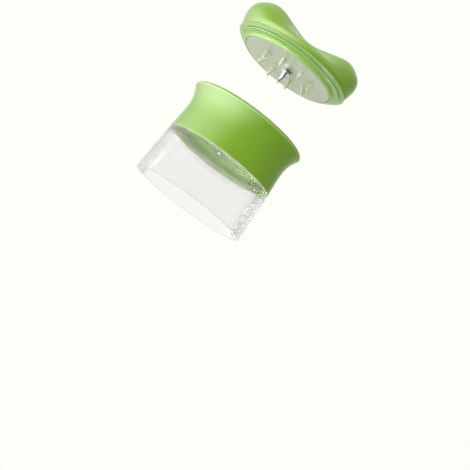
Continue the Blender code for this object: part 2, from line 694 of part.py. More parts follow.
def make_julienne_comb():
    low, high = comb_strip_z()
    near = WINDOW_FRONT + SEAT_GAP
    comb = place(box("julienne_comb", (WINDOW_X0, near, low), (WINDOW_X1, near + COMB_W, high)),
                 "julienne_comb", mat=material("julienne_comb", STEEL, 0.2, 1.0))
    mid = (low + high) / 2
    top = DECK_Z + COMB_TOOTH_RISE
    face = near + SEAT_GAP / 2
    outline = [(face, mid), (near + COMB_TOOTH_L, mid), (near + COMB_TOOTH_TIP, top), (face, top)]
    tooth = extruded("comb_tooth", outline, -COMB_TOOTH_T / 2, COMB_TOOTH_T / 2)
    middle = (WINDOW_X0 + WINDOW_X1) / 2
    first = middle - COMB_PITCH * (COMB_COUNT - 1) / 2
    spots = [Matrix.Translation((first + COMB_PITCH * i, 0.0, 0.0)) for i in range(COMB_COUNT)]
    boolean(comb, guide(copies("comb_teeth", tooth, spots), "comb_teeth"), "UNION")
    hole = rod("comb_hole", RIVET_R + SHANK_GAP, low - END_GAP, high + END_GAP)
    boolean(comb, guide(copies("comb_holes", hole, comb_rivet_spots()), "comb_holes"),
            "DIFFERENCE")


def make_coring_tube():
    top = DECK_Z + CORING_RISE
    bore = CORING_R - CORING_WALL
    points = [(bore + CORING_EDGE, top), (CORING_R, top - CORING_BEVEL),
              (CORING_R, DECK_FOOT_Z), (bore, DECK_FOOT_Z), (bore, top)]
    turned("coring_tube", points, material("coring_tube", STEEL, 0.2, 1.0), steps=ROUND // 2)


def make_carrier_screws():
    length = DECK_T + SEAT_GAP * 2 + DECK_LEDGE_T - END_GAP
    one = screw_mesh("carrier_screw", length)
    spots = around(CARRIER_SCREWS, CARRIER_SCREW_CIRCLE_R, CARRIER_SCREW_START)
    place_each(one, "carrier_screw", spots, z=DECK_FOOT_Z - SEAT_GAP,
               mat=material("carrier_screw", STEEL, 0.25, 1.0))


# Holder: a seat ring that plugs the mouth, and a handle that turns in it
def make_seat_ring(parent):
    flange_foot = PLUG_H + RING_FLANGE_RISE
    points = [(RING_FLANGE_R, RING_H), (RING_FLANGE_R, flange_foot),
              (PLUG_R + RING_COVE_W, PLUG_H + RING_COVE_H), (PLUG_R, PLUG_H)]
    points += arc(PLUG_R - PLUG_ROUND, PLUG_ROUND, PLUG_ROUND, 0, -90, 4)
    points += [(RIM_R, 0.0), (RIM_R, RING_LEDGE_Z), (RING_LEDGE_R, RING_LEDGE_Z),
               (RING_LEDGE_R, RING_H)]
    turned("seat_ring", points, material("seat_ring", LIGHT_GREEN, 0.3), parent)


def insert_span():
    """Lowest and highest point of the brass insert in the hub."""
    low = BASE_BOSS_Z + END_GAP
    return low, low + INSERT_H


def make_handle_base(parent):
    low = BASE_FOOT_Z
    edge = RING_FLANGE_R + BASE_STEP
    step_r = BASE_R - BAND_STEP_W
    hub_top = BASE_DECK_Z + HUB_H
    points = [(0.0, hub_top), (HUB_R, hub_top), (HUB_R, BASE_DECK_Z),
              (BASE_R - BASE_RIM_W - BASE_WALL, BASE_DECK_Z), (BASE_R - BASE_RIM_W, BASE_H),
              (BASE_R - BASE_STEP, BASE_H), (BASE_R, BASE_H - BASE_STEP),
              (BASE_R - BAND_TOP_W, low + BAND_TOP_H), (step_r, low + BAND_STEP_H),
              (step_r - BASE_STEP, low + BAND_LOW_H), (edge, low), (BASE_BOSS_R, low),
              (BASE_BOSS_R, BASE_BOSS_Z), (0.0, BASE_BOSS_Z)]
    base = turned("handle_base", points, material("handle_base", LIGHT_GREEN, 0.3), parent)
    insert_hole = rod("insert_hole", SPIKE_R + SHANK_GAP + INSERT_WALL + SEAT_GAP,
                      BASE_BOSS_Z - END_GAP, insert_span()[1] + END_GAP)
    boolean(base, guide(insert_hole, "insert_hole", parent), "DIFFERENCE")
    peg_hole = rod("peg_hole", PEG_R + SHANK_GAP, BASE_BOSS_Z - END_GAP,
                   PLATE_T + PEG_H + END_GAP)
    boolean(base, guide(copies("peg_holes", peg_hole, around(PEG_COUNT, PEG_CIRCLE_R)),
                        "peg_holes", parent), "DIFFERENCE")
    head_hole = rod("head_hole", SCREW_HEAD_R + SHANK_GAP, BASE_BOSS_Z - END_GAP,
                    shell_screw_seat())
    boolean(base, guide(copies("head_holes", head_hole, boss_spots()), "head_holes", parent),
            "DIFFERENCE")
    shank_hole = rod("shank_hole", SCREW_R + SHANK_GAP, BASE_BOSS_Z - END_GAP,
                     BASE_DECK_Z + END_GAP)
    boolean(base, guide(copies("shank_holes", shank_hole, boss_spots()), "shank_holes", parent),
            "DIFFERENCE")


def shell_screw_seat():
    """Height of the face in the base that a shell screw's head pulls on."""
    return BASE_BOSS_Z + SCREW_HEAD_T + SEAT_GAP * 2


def boss_spots():
    """Places of the four screws, two under each lobe."""
    x = BOSS_CIRCLE_R * math.cos(BOSS_ANGLE)
    y = BOSS_CIRCLE_R * math.sin(BOSS_ANGLE)
    return [Matrix.Translation((x * a, y * b, 0.0)) for a in (-1, 1) for b in (-1, 1)]


def shell_curves():
    """The shell's two outlines: over a lobe along X, and over the waist along Y."""
    foot = (SHELL_FOOT_R, 0.0)
    centre = (0.0, CENTRE_H)
    lobe = [foot, (SHELL_FOOT_R + BELLY_BULGE, BELLY_H),
            (SHELL_FOOT_R - SHOULDER_INSET, SHOULDER_H), (SHELL_FOOT_R - CROWN_INSET, CROWN_H),
            (DIP_R, DIP_H), centre]
    waist = [foot, (SHELL_FOOT_R, SKIRT_H), (SHELL_FOOT_R - SHELF_INSET, SHELF_H),
             (SHELL_FOOT_R - SLOPE_INSET, SLOPE_H), (BROW_R, BROW_H), centre]
    return through(lobe, SHELL_ROWS, SHELL_LEAN), through(waist, SHELL_ROWS, SHELL_LEAN)


def shell_outline(angle):
    """The shell's outline at an angle, blended between the lobe and the waist."""
    lobe, waist = shell_curves()
    share = (math.cos(angle) ** 2) ** LOBE_SHARPNESS
    return [w.lerp(l, share) for l, w in zip(lobe, waist)]


def shell_height(x, y):
    """Height of the shell's outer face over a place, above its foot."""
    radius = math.hypot(x, y)
    line = shell_outline(math.atan2(y, x))[::-1]
    for inner, outer in zip(line, line[1:]):
        if inner.x <= radius <= outer.x:
            share = (radius - inner.x) / (outer.x - inner.x)
            return inner.y + (outer.y - inner.y) * share
    return 0.0


def boss_ceiling():
    """Lowest height of the shell's outer face over a screw boss."""
    spot = boss_spots()[-1].translation
    turns = [2 * math.pi * i / SMALL_ROUND for i in range(SMALL_ROUND)]
    return min(shell_height(spot.x + BOSS_R * math.cos(a), spot.y + BOSS_R * math.sin(a))
               for a in turns)


def make_handle_shell(parent):
    mesh = bpy.data.meshes.new("handle_shell")
    bm = bmesh.new()
    apex = bm.verts.new((0.0, 0.0, CENTRE_H))
    rings = []
    for k in range(ROUND):
        angle = 2 * math.pi * k / ROUND
        line = shell_outline(angle)[:-1]
        rings.append([bm.verts.new((p.x * math.cos(angle), p.x * math.sin(angle), p.y))
                      for p in line])
    for k in range(ROUND):
        here, after = rings[k], rings[(k + 1) % ROUND]
        for low in range(SHELL_ROWS - 2):
            bm.faces.new((here[low], after[low], after[low + 1], here[low + 1]))
        bm.faces.new((here[-1], after[-1], apex))
    bm.to_mesh(mesh)
    bm.free()
    mesh.shade_smooth()
    shell = place(mesh, "handle_shell", parent, SHELL_FOOT_Z,
                  material("handle_shell", GREEN_HANDLE, 0.4))
    wall = shell.modifiers.new("Wall", "SOLIDIFY")
    wall.thickness = SHELL_WALL
    wall.offset = -1.0
    foot = BASE_DECK_Z + SEAT_GAP - SHELL_FOOT_Z
    top = boss_ceiling() - SHELL_WALL / 2
    boss = rod("shell_boss", BOSS_R, foot, top)
    boolean(shell, guide(copies("shell_bosses", boss, boss_spots()), "shell_bosses", parent,
                         SHELL_FOOT_Z), "UNION")
    hole = rod("shell_screw_hole", SCREW_R + SHANK_GAP, foot - END_GAP,
               foot + BOSS_SCREW_DEPTH + END_GAP)
    boolean(shell, guide(copies("shell_screw_holes", hole, boss_spots()), "shell_screw_holes",
                         parent, SHELL_FOOT_Z), "DIFFERENCE")


def make_shell_screws(parent):
    seat = shell_screw_seat() - SEAT_GAP
    length = BASE_DECK_Z + SEAT_GAP + BOSS_SCREW_DEPTH - seat
    one = screw_mesh("shell_screw", length)
    place_each(one, "shell_screw", boss_spots(), parent, seat,
               material("shell_screw", STEEL, 0.25, 1.0))


def make_hub_insert(parent):
    low, high = insert_span()
    bore = SPIKE_R + SHANK_GAP
    outer = bore + INSERT_WALL
    points = [(outer, high), (outer, low), (bore, low), (bore, high)]
    turned("hub_insert", points, material("hub_insert", BRASS, 0.35, 1.0), parent, SMALL_ROUND)


def make_spike_plate(parent):
    bore = SPIKE_R + SHANK_GAP
    points = [(PLATE_R, PLATE_T), (PLATE_R, 0.0), (bore, 0.0), (bore, PLATE_T)]
    plate = turned("spike_plate", points, material("spike_plate", PALE_PLATE, 0.25), parent)
    half = TOOTH_L / 2
    tip = half - TOOTH_TIP_BACK
    outline = [(-half, PLATE_T / 2), (tip - TOOTH_TIP_L, -TOOTH_H), (tip, -TOOTH_H),
               (half, PLATE_T / 2)]
    tooth = extruded("tooth", outline, -TOOTH_T / 2, TOOTH_T / 2)
    tooth.transform(Matrix.Rotation(-math.pi / 2, 4, "Z"))
    spots = around(TOOTH_COUNT, TOOTH_R, math.pi / TOOTH_COUNT)
    boolean(plate, guide(copies("teeth", tooth, spots), "teeth", parent), "UNION")
    peg = rod("peg", PEG_R, PLATE_T / 2, PLATE_T + PEG_H)
    boolean(plate, guide(copies("pegs", peg, around(PEG_COUNT, PEG_CIRCLE_R)), "pegs", parent),
            "UNION")


def make_centre_spike(parent):
    washer_foot = -SEAT_GAP - WASHER_T
    bore = SPIKE_R + SHANK_GAP
    points = [(WASHER_R, washer_foot + WASHER_T), (WASHER_R, washer_foot),
              (bore, washer_foot), (bore, washer_foot + WASHER_T)]
    turned("spike_washer", points, material("spike_washer", STEEL, 0.25, 1.0), parent, SMALL_ROUND)
    collar_top = washer_foot - SEAT_GAP
    collar_foot = collar_top - SPIKE_COLLAR_T
    points = [(0.0, insert_span()[1]), (SPIKE_R, insert_span()[1]), (SPIKE_R, collar_top),
              (SPIKE_COLLAR_R, collar_top), (SPIKE_COLLAR_R, collar_foot),
              (SPIKE_R, collar_foot), (SPIKE_R, -SPIKE_LENGTH + SPIKE_CONE),
              (0.0, -SPIKE_LENGTH)]
    turned("centre_spike", points, material("centre_spike", STEEL, 0.2, 1.0), parent, SMALL_ROUND)


def axis_empty(name, parent=None, z=0.0):
    empty = bpy.data.objects.new(name, None)
    PARTS.objects.link(empty)
    empty.parent = parent
    empty.location = (0.0, 0.0, z)
    return empty


sleeve_slide = axis_empty("sleeve_slide")
make_clear_sleeve(sleeve_slide)
make_sleeve_ring(sleeve_slide)

make_collar_core()
make_grip_collar()
make_feed_funnel()
tilt = make_blade_seat()
make_blade_carrier(tilt)
make_slicing_blade(tilt)
make_rivets(tilt)
make_julienne_comb()
make_coring_tube()
make_carrier_screws()

holder_feed = axis_empty("holder_feed", z=RIM_Z)
make_seat_ring(holder_feed)
handle_turn = axis_empty("handle_turn", holder_feed)
make_handle_base(handle_turn)
make_handle_shell(handle_turn)
make_shell_screws(handle_turn)
make_hub_insert(handle_turn)
make_spike_plate(handle_turn)
make_centre_spike(handle_turn)

for part in PARTS.objects:
    if part.type == "MESH":
        smooth(part.data)
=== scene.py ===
import math

import bmesh
import bpy
from mathutils import Matrix, Vector


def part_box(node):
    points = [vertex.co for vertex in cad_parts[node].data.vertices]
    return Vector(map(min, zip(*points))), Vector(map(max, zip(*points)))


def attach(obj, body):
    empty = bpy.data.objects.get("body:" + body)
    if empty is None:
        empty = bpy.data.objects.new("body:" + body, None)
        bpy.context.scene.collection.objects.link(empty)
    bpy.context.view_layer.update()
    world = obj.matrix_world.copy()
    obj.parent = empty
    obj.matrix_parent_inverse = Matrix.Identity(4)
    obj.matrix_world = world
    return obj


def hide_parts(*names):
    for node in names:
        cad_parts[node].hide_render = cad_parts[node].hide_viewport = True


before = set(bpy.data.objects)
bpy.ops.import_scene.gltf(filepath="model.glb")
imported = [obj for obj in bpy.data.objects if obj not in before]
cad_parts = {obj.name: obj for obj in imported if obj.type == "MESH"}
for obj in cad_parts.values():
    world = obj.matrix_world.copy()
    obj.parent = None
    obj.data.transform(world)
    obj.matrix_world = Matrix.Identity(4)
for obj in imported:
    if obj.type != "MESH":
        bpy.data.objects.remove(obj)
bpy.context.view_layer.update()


# Collar core
# The rigid ring in the middle of the tool, moulded in pale mint plastic. The sleeve goes in
# below, the blade unit is screwed up to its ledge, and the soft grip is slipped around it.
MM = 0.001
SEAT_GAP = 0.3 * MM
FINE = 192                   # facets round a turned piece
EDGE = 0.3 * MM              # usual rounding of a moulded edge
CREASE = 0.2 * MM            # usual rounding of an inner corner
CORE_WALL = 1.6 * MM
CORE_FOOT_WALL = 1.2 * MM
CORE_LIP_W = 2.5 * MM
CORE_LIP_T = 1.6 * MM
CORE_FLARE_H = 6.0 * MM
CORE_STOP = 1.2 * MM         # ledge that stops the sleeve's spigot
CORE_STOP_UNDER_DECK = 3.8 * MM
DECK_T = 2.7 * MM
LEDGE_T = 2.2 * MM
LEDGE_BACK = 0.5 * MM        # ledge's opening beyond the throat
FUNNEL_WALL = 1.2 * MM
FUNNEL_TAPER = 6.6 * MM
FUNNEL_FLANGE_W = 1.0 * MM
RING_CLEARANCE = 0.15 * MM   # friction ring to the core's bore
# The next two set where the painted edge shading starts on a rounded edge and how fast it grows.
RIM_SHADING_START = 0.508           # pointiness at which a surface begins to count as an edge
RIM_SHADING_SLOPE = 40.0
GRAIN_GLOSS = 0.06           # how far the fine grain moves a moulding's roughness
ON_AXIS = 0.001 * MM         # a radius that counts as none
MOST_OF_A_SIDE = 0.48        # share of a side that one rounding may use up
SHARP_ANGLE = math.radians(40)    # edges steeper than this look sharp


def srgb(red, green, blue):
    """Linear colour of an 8-bit screen colour."""
    def linear(value):
        value = value / 255.0
        return value / 12.92 if value <= 0.04045 else ((value + 0.055) / 1.055) ** 2.4
    return (linear(red), linear(green), linear(blue), 1.0)


def rounded_outline(corners, steps=6):
    """Points of an outline whose (radius, height, fillet) corners are rounded by true arcs."""
    points = []
    for i, (radius, height, fillet) in enumerate(corners):
        here = Vector((radius, height))
        before = Vector(corners[i - 1][:2]) - here
        after = Vector(corners[(i + 1) % len(corners)][:2]) - here
        if fillet == 0.0:
            points.append(here)
            continue
        half = before.angle(after) / 2
        reach = min(fillet / math.tan(half), before.length * MOST_OF_A_SIDE,
                    after.length * MOST_OF_A_SIDE)
        round_r = reach * math.tan(half)
        centre = here + (before.normalized() + after.normalized()).normalized() * (
            round_r / math.sin(half))
        first = here + before.normalized() * reach - centre
        last = here + after.normalized() * reach - centre
        start = math.atan2(first.y, first.x)
        sweep = (math.atan2(last.y, last.x) - start + math.pi) % (2 * math.pi) - math.pi
        for k in range(steps + 1):
            angle = start + sweep * k / steps
            points.append(centre + Vector((math.cos(angle), math.sin(angle))) * round_r)
    return points


def turned_mesh(name, points, segments=FINE):
    """A closed outline of (radius, height) points turned about Z."""
    mesh = bpy.data.meshes.new(name)
    bm = bmesh.new()
    turns = [2 * math.pi * i / segments for i in range(segments)]
    rings = []
    for radius, height in points:
        if radius < ON_AXIS:
            rings.append([bm.verts.new((0.0, 0.0, height))] * segments)
        else:
            rings.append([bm.verts.new((radius * math.cos(a), radius * math.sin(a), height))
                          for a in turns])
    for ring, following in zip(rings, rings[1:] + rings[:1]):
        for i in range(segments):
            k = (i + 1) % segments
            corners = list(dict.fromkeys((ring[i], following[i], following[k], ring[k])))
            if len(corners) > 2:
                bm.faces.new(corners)
    bmesh.ops.recalc_face_normals(bm, faces=bm.faces)
    bm.to_mesh(mesh)
    bm.free()
    return mesh


def shown(name, mesh, finish, body, slot, *nodes):
    """A finished piece that rides on a body and stands for the named nodes."""
    piece = bpy.data.objects.new(name, mesh)
    bpy.context.scene.collection.objects.link(piece)
    mesh.materials.clear()
    mesh.materials.append(finish)
    mesh.shade_smooth()
    mesh.set_sharp_from_angle(angle=SHARP_ANGLE)
    piece.modifiers.new("even_shading", "WEIGHTED_NORMAL").keep_sharp = True
    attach(piece, body)
    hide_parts(*nodes)
    return piece


def group_of(name, inputs, outputs):
    """An empty shader node group with named sockets."""
    group = bpy.data.node_groups.new(name, "ShaderNodeTree")
    for label, kind, value in inputs:
        socket = group.interface.new_socket(label, in_out="INPUT", socket_type=kind)
        socket.default_value = value
    for label, kind in outputs:
        group.interface.new_socket(label, in_out="OUTPUT", socket_type=kind)
    return group, group.nodes.new("NodeGroupInput"), group.nodes.new("NodeGroupOutput")


def math_node(tree, operation, first, second, third=None, clamp=False):
    """A Math node whose operands are sockets or numbers."""
    node = tree.nodes.new("ShaderNodeMath")
    node.operation = operation
    node.use_clamp = clamp
    for index, value in enumerate((first, second, third)):
        if isinstance(value, (int, float)):
            node.inputs[index].default_value = value
        elif value is not None:
            tree.links.new(value, node.inputs[index])
    return node.outputs[0]


def mixed_colour(tree, factor, first, second):
    """Two colours mixed, each given by a socket."""
    node = tree.nodes.new("ShaderNodeMix")
    node.data_type = "RGBA"
    tree.links.new(factor, node.inputs["Factor"])
    tree.links.new(first, node.inputs[6])
    tree.links.new(second, node.inputs[7])
    return node.outputs[2]


def noise_at(tree, coordinate, size, detail):
    """Noise whose grains have the size that a socket gives in metres."""
    noise = tree.nodes.new("ShaderNodeTexNoise")
    noise.inputs["Detail"].default_value = detail
    tree.links.new(coordinate, noise.inputs["Vector"])
    tree.links.new(math_node(tree, "DIVIDE", 1.0, size), noise.inputs["Scale"])
    return noise.outputs["Fac"]


def make_moulded_skin():
    """The skin of a moulding: slow drift of colour and gloss, fine grain, and rounded edges painted
    toward an edge colour, a painted highlight where it is pale and a painted shade where it is
    dark.
    """
    group, given, out = group_of(
        "moulded_skin",
        [("Colour", "NodeSocketColor", (0.5, 0.5, 0.5, 1.0)),
         ("Drifted Colour", "NodeSocketColor", (0.5, 0.5, 0.5, 1.0)),
         ("Painted Rim Shading", "NodeSocketColor", (0.8, 0.8, 0.8, 1.0)),
         ("Painted Rim Share", "NodeSocketFloat", 0.3),
         ("Drift Size", "NodeSocketFloat", 0.03), ("Grain Size", "NodeSocketFloat", 0.0004),
         ("Roughness", "NodeSocketFloat", 0.4), ("Gloss Drift", "NodeSocketFloat", 0.1)],
        [("Colour", "NodeSocketColor"), ("Roughness", "NodeSocketFloat"),
         ("Height", "NodeSocketFloat"), ("Painted Rim Mask", "NodeSocketFloat")])
    place = group.nodes.new("ShaderNodeTexCoord").outputs["Object"]
    drift = noise_at(group, place, given.outputs["Drift Size"], 2.0)
    grain = noise_at(group, place, given.outputs["Grain Size"], 1.0)
    colour = mixed_colour(group, drift, given.outputs["Colour"], given.outputs["Drifted Colour"])
    # Painted edge shading: pointiness finds the rounded edges, and the colour there is mixed toward
    # the painted edge colour, a painted highlight on pale ones and a painted shade on dark ones.
    point = group.nodes.new("ShaderNodeNewGeometry").outputs["Pointiness"]
    rim_shading = math_node(group, "MULTIPLY", math_node(group, "SUBTRACT", point, RIM_SHADING_START),
                     RIM_SHADING_SLOPE, clamp=True)
    rim_shading = math_node(group, "MULTIPLY", rim_shading, given.outputs["Painted Rim Share"])
    group.links.new(rim_shading, out.inputs["Painted Rim Mask"])
    colour = mixed_colour(group, rim_shading, colour, given.outputs["Painted Rim Shading"])
    swing = math_node(group, "MULTIPLY", math_node(group, "SUBTRACT", drift, 0.5),
                      given.outputs["Gloss Drift"])
    rough = math_node(group, "ADD", given.outputs["Roughness"], swing)
    fine = math_node(group, "MULTIPLY_ADD", math_node(group, "SUBTRACT", grain, 0.5),
                     GRAIN_GLOSS, rough)
    group.links.new(colour, out.inputs["Colour"])
    group.links.new(fine, out.inputs["Roughness"])
    group.links.new(grain, out.inputs["Height"])
    return group


def with_skin(name, group, values, bump, relief_depth, fixed):
    """A material that takes colour, roughness and relief from a group, and the rest as fixed."""
    made = bpy.data.materials.new(name)
    made.use_nodes = True
    tree = made.node_tree
    shader = tree.nodes["Principled BSDF"]
    skin = tree.nodes.new("ShaderNodeGroup")
    skin.node_tree = group
    for label, value in values.items():
        skin.inputs[label].default_value = value
    relief = tree.nodes.new("ShaderNodeBump")
    relief.inputs["Strength"].default_value = bump
    relief.inputs["Distance"].default_value = relief_depth
    tree.links.new(skin.outputs["Colour"], shader.inputs["Base Color"])
    tree.links.new(skin.outputs["Roughness"], shader.inputs["Roughness"])
    tree.links.new(skin.outputs["Height"], relief.inputs["Height"])
    tree.links.new(relief.outputs["Normal"], shader.inputs["Normal"])
    for label, value in fixed.items():
        shader.inputs[label].default_value = value
    return made


MOULDED_SKIN = make_moulded_skin()
pale_mint = with_skin(
    "pale_mint_plastic", MOULDED_SKIN,
    {"Colour": srgb(214, 243, 174), "Drifted Colour": srgb(206, 238, 164),
     # Its edge colour is a painted highlight along the rounded edges.
     "Painted Rim Shading": srgb(238, 252, 216), "Painted Rim Share": 0.35, "Grain Size": 0.5 * MM,
     "Roughness": 0.3, "Gloss Drift": 0.08},
    0.04, 0.1 * MM, {"IOR": 1.5})

core_low, core_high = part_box("collar_core")
deck_low, deck_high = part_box("blade_carrier")
funnel_low, funnel_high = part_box("feed_funnel")
sleeve_low, sleeve_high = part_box("clear_sleeve")
friction_low, friction_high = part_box("sleeve_ring")
mouth_r = funnel_high.x - FUNNEL_FLANGE_W - SEAT_GAP - FUNNEL_WALL
throat_r = mouth_r - FUNNEL_TAPER
foot_bore_r = friction_high.x + RING_CLEARANCE
core_bore_r = deck_high.x + SEAT_GAP
core_r = core_bore_r + CORE_WALL
core_foot_r = foot_bore_r + CORE_FOOT_WALL
core_lip_r = core_high.x
stop_z = deck_low.z - CORE_STOP_UNDER_DECK
shoulder_z = stop_z + SEAT_GAP
ledge_z = deck_low.z + DECK_T + SEAT_GAP
ledge_top = ledge_z + LEDGE_T
ledge_r = throat_r + LEDGE_BACK
flare_z = core_high.z - CORE_FLARE_H
under_lip = core_high.z - CORE_LIP_T
core_corners = [
    (core_lip_r, core_high.z, EDGE), (core_lip_r, under_lip, EDGE), (core_r, flare_z, 2 * MM),
    (core_r, shoulder_z + CORE_STOP, 0.6 * MM), (core_foot_r, shoulder_z, 0.6 * MM),
    (core_foot_r, core_low.z, EDGE), (foot_bore_r, core_low.z, EDGE),
    (foot_bore_r, stop_z, CREASE), (core_bore_r, stop_z, EDGE), (core_bore_r, ledge_z, CREASE),
    (ledge_r, ledge_z, EDGE), (ledge_r, ledge_top, EDGE), (core_bore_r, ledge_top, CREASE),
    (core_bore_r, flare_z, 2 * MM), (core_lip_r - CORE_LIP_W, under_lip, EDGE),
    (core_lip_r - CORE_LIP_W, core_high.z, EDGE)]
shown("core_ring", turned_mesh("core_ring", rounded_outline(core_corners)),
      pale_mint, "cutter_body", "pale_mint", "collar_core")


# Grip collar
# A satin green band of soft plastic that the hand holds, waisted and flared to a rounded lip.
# It is moulded by itself and slipped up over the core, whose lip it wraps.
GRIP_WAIST_H = 16.0 * MM
GRIP_WAIST_WALL = 1.2 * MM
GRIP_FOOT_WALL = 1.6 * MM
GRIP_LIP_ROUND = 1.9 * MM
GRIP_LIP_SWEEP = 2.5
GRIP_FOOT_SWEEP = 1.3
GRIP_ROWS = 48
LIP_STEPS = 10
# Its roughness is lower than the real skin's, as a wider gloss lets the softbox into the colour.
grip_green = with_skin(
    "soft_green_grip", MOULDED_SKIN,
    {"Colour": srgb(144, 194, 50), "Drifted Colour": srgb(134, 186, 42),
     # Its edge colour is a painted highlight along the rounded edges and the lip.
     "Painted Rim Shading": srgb(206, 234, 166), "Painted Rim Share": 0.7, "Drift Size": 20 * MM,
     "Grain Size": 0.35 * MM, "Roughness": 0.14, "Gloss Drift": 0.06},
    0.06, 0.1 * MM, {"IOR": 1.55})

grip_low, grip_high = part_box("grip_collar")
grip_lip_r = grip_high.x
grip_waist_r = core_r + SEAT_GAP + GRIP_WAIST_WALL
grip_foot_r = core_foot_r + SEAT_GAP + GRIP_FOOT_WALL
grip_top = grip_high.z - grip_low.z - GRIP_LIP_ROUND


def grip_radius(height):
    """The grip's outer radius: narrow at the waist, flared to the lip."""
    if height < GRIP_WAIST_H:
        share = 1.0 - height / GRIP_WAIST_H
        return grip_waist_r + (grip_foot_r - grip_waist_r) * share ** GRIP_FOOT_SWEEP
    share = (height - GRIP_WAIST_H) / (grip_top - GRIP_WAIST_H)
    return grip_waist_r + (grip_lip_r - grip_waist_r) * share ** GRIP_LIP_SWEEP


lip_turns = [math.radians(90 - 90 * i / LIP_STEPS) for i in range(LIP_STEPS)]
lip_arc = [(grip_lip_r - GRIP_LIP_ROUND + GRIP_LIP_ROUND * math.cos(a),
            grip_high.z - GRIP_LIP_ROUND + GRIP_LIP_ROUND * math.sin(a)) for a in lip_turns]
grip_side = [(grip_radius(grip_top * (1 - i / GRIP_ROWS)),
              grip_low.z + grip_top * (1 - i / GRIP_ROWS)) for i in range(GRIP_ROWS)]
grip_inside = rounded_outline([
    (grip_foot_r, grip_low.z, 0.5 * MM), (core_foot_r + SEAT_GAP, grip_low.z, EDGE),
    (core_foot_r + SEAT_GAP, shoulder_z, EDGE),
    (core_r + SEAT_GAP, shoulder_z + CORE_STOP, EDGE), (core_r + SEAT_GAP, flare_z, 2 * MM),
    (core_lip_r + SEAT_GAP, under_lip, EDGE),
    (core_lip_r + SEAT_GAP, core_high.z + SEAT_GAP, CREASE),
    (funnel_high.x + SEAT_GAP, core_high.z + SEAT_GAP, CREASE),
    (funnel_high.x + SEAT_GAP, grip_high.z, EDGE)])
shown("grip_skin", turned_mesh("grip_skin", lip_arc + grip_side + grip_inside),
      grip_green, "cutter_body", "green_grip", "grip_collar")


# Blade carrier
# A white moulded deck across the collar, with a window for the cut and a ramp for the blade.
# It is pushed up from below against the core's ledge and held by three screws.
white_plastic = with_skin(
    "white_plastic", MOULDED_SKIN,
    {"Colour": srgb(236, 240, 232), "Drifted Colour": srgb(228, 233, 224),
     # Its edge colour is a painted highlight along the rounded edges.
     "Painted Rim Shading": srgb(250, 252, 248), "Painted Rim Share": 0.4, "Grain Size": 0.4 * MM,
     "Roughness": 0.32, "Gloss Drift": 0.06},
    0.05, 0.1 * MM, {"IOR": 1.5})
WELD = 0.001 * MM                 # corners closer than this are one
FLAT_ANGLE = math.radians(1)      # faces that meet flatter than this are one
EASED_ANGLE = math.radians(30)    # edges steeper than this are eased


def eased(name, node, width, finish, body, slot):
    """A new piece with a node's shape, its flat faces made whole and its sharp edges eased."""
    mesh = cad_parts[node].data.copy()
    bm = bmesh.new()
    bm.from_mesh(mesh)
    bmesh.ops.remove_doubles(bm, verts=bm.verts, dist=WELD)
    bmesh.ops.dissolve_limit(bm, angle_limit=FLAT_ANGLE, verts=bm.verts, edges=bm.edges)
    bmesh.ops.recalc_face_normals(bm, faces=bm.faces)
    bm.to_mesh(mesh)
    bm.free()
    piece = shown(name, mesh, finish, body, slot, node)
    easing = piece.modifiers.new("eased_edges", "BEVEL")
    easing.width = width
    easing.segments = 2
    easing.limit_method = "ANGLE"
    easing.angle_limit = EASED_ANGLE
    piece.modifiers.move(len(piece.modifiers) - 1, 0)
    return piece


eased("deck", "blade_carrier", 0.12 * MM, white_plastic, "cutter_body", "white_plastic")


# Blade, comb and coring tube
# Stamped and ground stainless steel: a slanted blade riveted to the ramp, a comb of small
# upright cutters riveted into a pocket before it, and a tube pressed into the deck's middle.
CORING_WALL = 0.6 * MM
CORING_EDGE = 0.2 * MM
CORING_BEVEL = 1.2 * MM
GRIND_STRETCH = 0.04         # draws the grinding lines out along X
BLOTCH_SCALE = 250.0
BLOTCH_GLOSS = 0.08          # how far the blotches move the steel's roughness


def make_ground_steel():
    """Metal with fine grinding lines along X, and slow blotches of sheen."""
    group, given, out = group_of(
        "ground_steel",
        [("Colour", "NodeSocketColor", srgb(206, 208, 210)),
         ("Line Colour", "NodeSocketColor", srgb(178, 181, 184)),
         ("Line Size", "NodeSocketFloat", 0.0002), ("Roughness", "NodeSocketFloat", 0.2),
         ("Line Depth", "NodeSocketFloat", 0.12)],
        [("Colour", "NodeSocketColor"), ("Roughness", "NodeSocketFloat"),
         ("Height", "NodeSocketFloat")])
    place = group.nodes.new("ShaderNodeTexCoord").outputs["Object"]
    drawn = group.nodes.new("ShaderNodeMapping")
    drawn.inputs["Scale"].default_value = (GRIND_STRETCH, 1.0, 1.0)
    group.links.new(place, drawn.inputs["Vector"])
    lines = noise_at(group, drawn.outputs["Vector"], given.outputs["Line Size"], 2.0)
    blotch = group.nodes.new("ShaderNodeTexNoise")
    blotch.inputs["Scale"].default_value = BLOTCH_SCALE
    group.links.new(place, blotch.inputs["Vector"])
    colour = mixed_colour(group, lines, given.outputs["Line Colour"], given.outputs["Colour"])
    rough = math_node(group, "MULTIPLY_ADD", math_node(group, "SUBTRACT", lines, 0.5),
                      given.outputs["Line Depth"], given.outputs["Roughness"])
    rough = math_node(group, "MULTIPLY_ADD",
                      math_node(group, "SUBTRACT", blotch.outputs["Fac"], 0.5), BLOTCH_GLOSS,
                      rough)
    group.links.new(colour, out.inputs["Colour"])
    group.links.new(rough, out.inputs["Roughness"])
    group.links.new(lines, out.inputs["Height"])
    return group


GROUND_STEEL = make_ground_steel()


def steel(name, roughness, line_size, bump=0.1):
    """A bare steel of its own gloss and grinding."""
    return with_skin(name, GROUND_STEEL, {"Roughness": roughness, "Line Size": line_size},
                     bump, 0.02 * MM, {"Metallic": 1.0})


